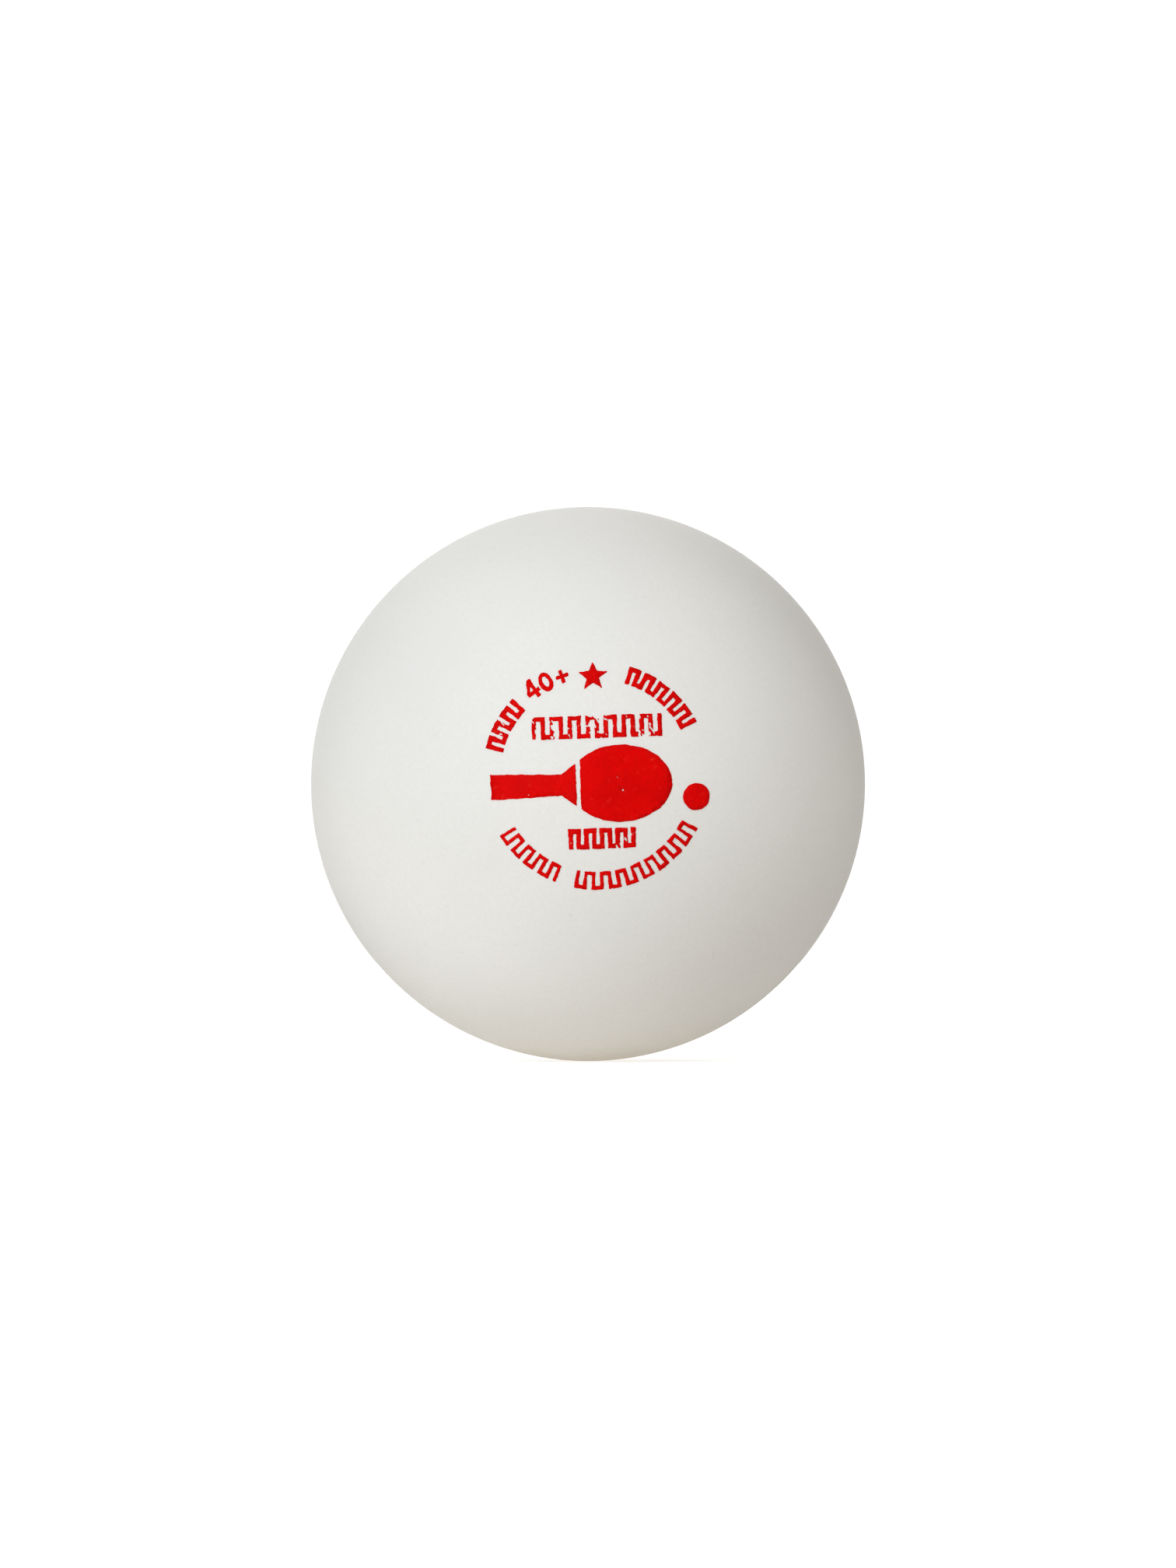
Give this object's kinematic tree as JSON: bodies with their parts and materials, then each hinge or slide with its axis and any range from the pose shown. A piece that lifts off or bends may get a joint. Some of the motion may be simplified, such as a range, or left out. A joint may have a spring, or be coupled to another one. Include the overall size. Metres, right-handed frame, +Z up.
{
  "type": "table tennis ball",
  "caption": "Hollow plastic ball of two cemented half shells, matt white, with a red pad-printed stamp on one side.",
  "frame": {"origin": "centre of the ball", "axes": "+Z up with the print upright, -Y through the printed side towards the viewer, +X to the right of the print; the seam lies in the XZ plane"},
  "size_m": [0.0402, 0.0404, 0.0402],
  "materials": {
    "shell_front": "fine matt, as tumbled ABS",
    "shell_rear": "fine matt, as tumbled ABS",
    "cement": "solvent cement, slightly yellower than the shell and ground flush",
    "red_ink": "pad-printing ink, satin, with ragged edges"
  },
  "bodies": {
    "root": {"front_half_shell": "shell_front", "rear_half_shell": "shell_rear", "seam_cement": "cement", "ink_star": "red_ink", "ink_size_4": "red_ink", "ink_size_0": "red_ink", "ink_size_plus": "red_ink", "ink_ring_upper_left": "red_ink", "ink_ring_upper_right": "red_ink", "ink_ring_lower_left": "red_ink", "ink_ring_lower_right": "red_ink", "ink_row_upper": "red_ink", "ink_row_lower": "red_ink", "ink_bat_blade": "red_ink", "ink_bat_handle": "red_ink", "ink_picture_ball": "red_ink"}
  },
  "joints": []
}
